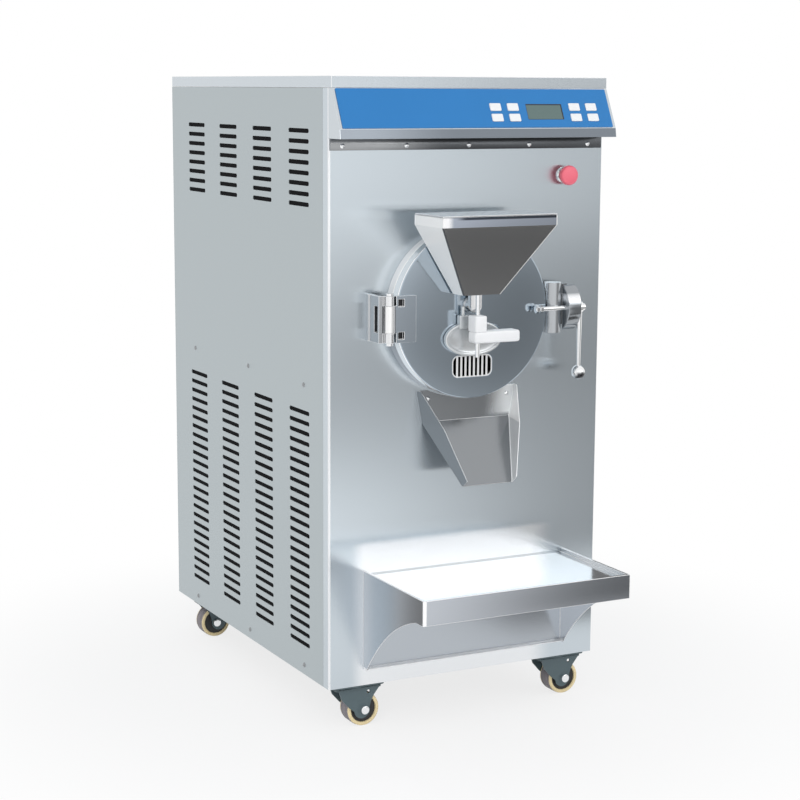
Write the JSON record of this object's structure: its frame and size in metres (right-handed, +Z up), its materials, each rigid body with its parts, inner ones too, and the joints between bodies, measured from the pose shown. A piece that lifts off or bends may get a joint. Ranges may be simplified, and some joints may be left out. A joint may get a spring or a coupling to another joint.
{
  "type": "batch freezer",
  "caption": "Floor-standing batch freezer for ice cream: vented steel cabinet on castors, hinged round door with hopper and sliding gate, chute and work shelf.",
  "frame": {"origin": "on the floor under the middle of the whole machine's box, shelf and cable gland included", "axes": "+Z up, -Y to the front where the door is, +X to the right seen from the front"},
  "size_m": [0.5648, 1.01, 1.181],
  "materials": {
    "sheet_steel": "fine vertical brush",
    "side_sheet": "pale grey satin",
    "polished_steel": "satin polish",
    "door_steel": "satin polish",
    "chrome_fittings": "polished",
    "frame_paint": "satin",
    "galvanised": "matt",
    "blue_overlay": "satin film",
    "display": "clear window over a grey-green display",
    "white_plastic": "smooth",
    "red_plastic": "smooth",
    "foam": "closed-cell foam",
    "motor_paint": "satin",
    "black_paint": "satin",
    "fins": "plain",
    "box_paint": "satin",
    "black_plastic": "matt",
    "gasket_rubber": "matt",
    "slate_steel": "satin",
    "castor_tread": "matt"
  },
  "bodies": {
    "cabinet": {"chassis_frame": "frame_paint", "base_pan": "galvanised", "left_side_panel": "side_sheet", "right_side_panel": "side_sheet", "front_panel": "sheet_steel", "rear_panel": "side_sheet", "top_cover": "sheet_steel", "fascia_housing": "sheet_steel", "fascia_overlay": "blue_overlay", "display_window": "display", "panel_screws": "chrome_fittings", "estop_base": "chrome_fittings", "freezing_cylinder": "polished_steel", "insulation_jacket": "foam", "bearing_housing": "black_paint", "drive_motor": "motor_paint", "compressor": "black_paint", "condenser": "fins", "fan_motor": "black_paint", "electrical_box": "box_paint", "cable_gland": "black_plastic", "hinge_bracket": "chrome_fittings", "hinge_pin": "chrome_fittings", "latch_keeper": "polished_steel", "discharge_chute": "polished_steel", "shelf_tray": "polished_steel", "shelf_support": "polished_steel", "castor_plates": "slate_steel"},
    "door": {"door_disc": "door_steel", "door_gasket": "gasket_rubber", "door_hinge_leaf": "polished_steel", "hopper": "polished_steel", "gate_guide_rod": "chrome_fittings", "outlet_grille": "chrome_fittings", "latch_lug": "polished_steel", "latch_rod": "chrome_fittings"},
    "lid": {"hopper_lid": "polished_steel"},
    "gate": {"gate_plate": "polished_steel", "gate_handle": "white_plastic"},
    "latch": {"latch_lever": "chrome_fittings"},
    "stop_button": {"estop_head": "red_plastic"},
    "beater_assembly": {"beater": "polished_steel", "beater_shaft": "polished_steel"},
    "fan": {"condenser_fan": "fins"},
    "key_1": {"key_1": "white_plastic"},
    "key_2": {"key_2": "white_plastic"},
    "key_3": {"key_3": "white_plastic"},
    "key_4": {"key_4": "white_plastic"},
    "key_5": {"key_5": "white_plastic"},
    "key_6": {"key_6": "white_plastic"},
    "key_7": {"key_7": "white_plastic"},
    "key_8": {"key_8": "white_plastic"},
    "castor_1": {"castor_fork_1": "slate_steel"},
    "wheel_1": {"castor_wheel_1": "castor_tread"},
    "castor_2": {"castor_fork_2": "slate_steel"},
    "wheel_2": {"castor_wheel_2": "castor_tread"},
    "castor_3": {"castor_fork_3": "slate_steel"},
    "wheel_3": {"castor_wheel_3": "castor_tread"},
    "castor_4": {"castor_fork_4": "slate_steel"},
    "wheel_4": {"castor_wheel_4": "castor_tread"}
  },
  "joints": [
    {"name": "door_swing", "type": "hinge", "parent": "cabinet", "child": "door", "pos_m": [-0.183, -0.318, 0.7595], "axis": [0, 0, -1], "range_deg": [0, 110]},
    {"name": "hopper_lid_lift", "type": "slide", "parent": "door", "child": "lid", "axis": [0, 0, 1], "range_m": [0, 0.1]},
    {"name": "gate_slide", "type": "slide", "parent": "door", "child": "gate", "axis": [0, 0, -1], "range_m": [0, 0.04]},
    {"name": "latch_lever_turn", "type": "hinge", "parent": "door", "child": "latch", "pos_m": [0.19, -0.331, 0.765], "axis": [-1, 0, 0], "range_deg": [0, 150]},
    {"name": "estop_push", "type": "slide", "parent": "cabinet", "child": "stop_button", "axis": [0, 1, 0], "range_m": [0, 0.004], "stiffness_N_per_m": 1500},
    {"name": "beater_spin", "type": "hinge", "parent": "cabinet", "child": "beater_assembly", "pos_m": [-0.0145, -0.173, 0.763], "axis": [0, 1, 0], "continuous": true},
    {"name": "fan_spin", "type": "hinge", "parent": "cabinet", "child": "fan", "pos_m": [0.194, 0.067, 0.324], "axis": [1, 0, 0], "continuous": true},
    {"name": "key_1_press", "type": "slide", "parent": "cabinet", "child": "key_1", "axis": [0, 0.9015, -0.4327], "range_m": [0, 0.0008], "stiffness_N_per_m": 800},
    {"name": "key_2_press", "type": "slide", "parent": "cabinet", "child": "key_2", "axis": [0, 0.9015, -0.4327], "range_m": [0, 0.0008], "stiffness_N_per_m": 800},
    {"name": "key_3_press", "type": "slide", "parent": "cabinet", "child": "key_3", "axis": [0, 0.9015, -0.4327], "range_m": [0, 0.0008], "stiffness_N_per_m": 800},
    {"name": "key_4_press", "type": "slide", "parent": "cabinet", "child": "key_4", "axis": [0, 0.9015, -0.4327], "range_m": [0, 0.0008], "stiffness_N_per_m": 800},
    {"name": "key_5_press", "type": "slide", "parent": "cabinet", "child": "key_5", "axis": [0, 0.9015, -0.4327], "range_m": [0, 0.0008], "stiffness_N_per_m": 800},
    {"name": "key_6_press", "type": "slide", "parent": "cabinet", "child": "key_6", "axis": [0, 0.9015, -0.4327], "range_m": [0, 0.0008], "stiffness_N_per_m": 800},
    {"name": "key_7_press", "type": "slide", "parent": "cabinet", "child": "key_7", "axis": [0, 0.9015, -0.4327], "range_m": [0, 0.0008], "stiffness_N_per_m": 800},
    {"name": "key_8_press", "type": "slide", "parent": "cabinet", "child": "key_8", "axis": [0, 0.9015, -0.4327], "range_m": [0, 0.0008], "stiffness_N_per_m": 800},
    {"name": "castor_swivel_1", "type": "hinge", "parent": "cabinet", "child": "castor_1", "pos_m": [-0.216, -0.237, 0.07], "axis": [0, 0, 1], "continuous": true},
    {"name": "castor_roll_1", "type": "hinge", "parent": "castor_1", "child": "wheel_1", "pos_m": [-0.201, -0.237, 0.032], "axis": [0, 1, 0], "continuous": true},
    {"name": "castor_swivel_2", "type": "hinge", "parent": "cabinet", "child": "castor_2", "pos_m": [0.216, -0.237, 0.07], "axis": [0, 0, 1], "continuous": true},
    {"name": "castor_roll_2", "type": "hinge", "parent": "castor_2", "child": "wheel_2", "pos_m": [0.231, -0.237, 0.032], "axis": [0, 1, 0], "continuous": true},
    {"name": "castor_swivel_3", "type": "hinge", "parent": "cabinet", "child": "castor_3", "pos_m": [-0.216, 0.419, 0.07], "axis": [0, 0, 1], "continuous": true},
    {"name": "castor_roll_3", "type": "hinge", "parent": "castor_3", "child": "wheel_3", "pos_m": [-0.231, 0.419, 0.032], "axis": [0, 1, 0], "continuous": true},
    {"name": "castor_swivel_4", "type": "hinge", "parent": "cabinet", "child": "castor_4", "pos_m": [0.216, 0.419, 0.07], "axis": [0, 0, 1], "continuous": true},
    {"name": "castor_roll_4", "type": "hinge", "parent": "castor_4", "child": "wheel_4", "pos_m": [0.201, 0.419, 0.032], "axis": [0, 1, 0], "continuous": true}
  ]
}
